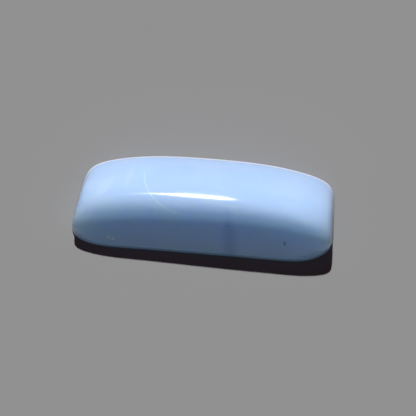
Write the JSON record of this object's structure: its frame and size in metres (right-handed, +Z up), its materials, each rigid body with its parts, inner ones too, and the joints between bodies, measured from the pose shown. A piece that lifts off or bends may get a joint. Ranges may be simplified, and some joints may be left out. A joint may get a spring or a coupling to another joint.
{
  "type": "opal cabochon",
  "caption": "Long barrel-shaped cabochon of milky sky-blue opal, with a polished high dome, a narrow girdle wall and a flat ground back.",
  "frame": {"origin": "middle of the stone's box, on the plane of its flat back", "axes": "+X along the stone's length, +Z up through the dome, +Y towards the more bowed long side"},
  "size_m": [0.03, 0.0112, 0.0068],
  "materials": {
    "opal": "milky sky-blue opal, polished to a glassy gloss"
  },
  "bodies": {
    "root": {"cabochon": "opal"}
  },
  "joints": []
}
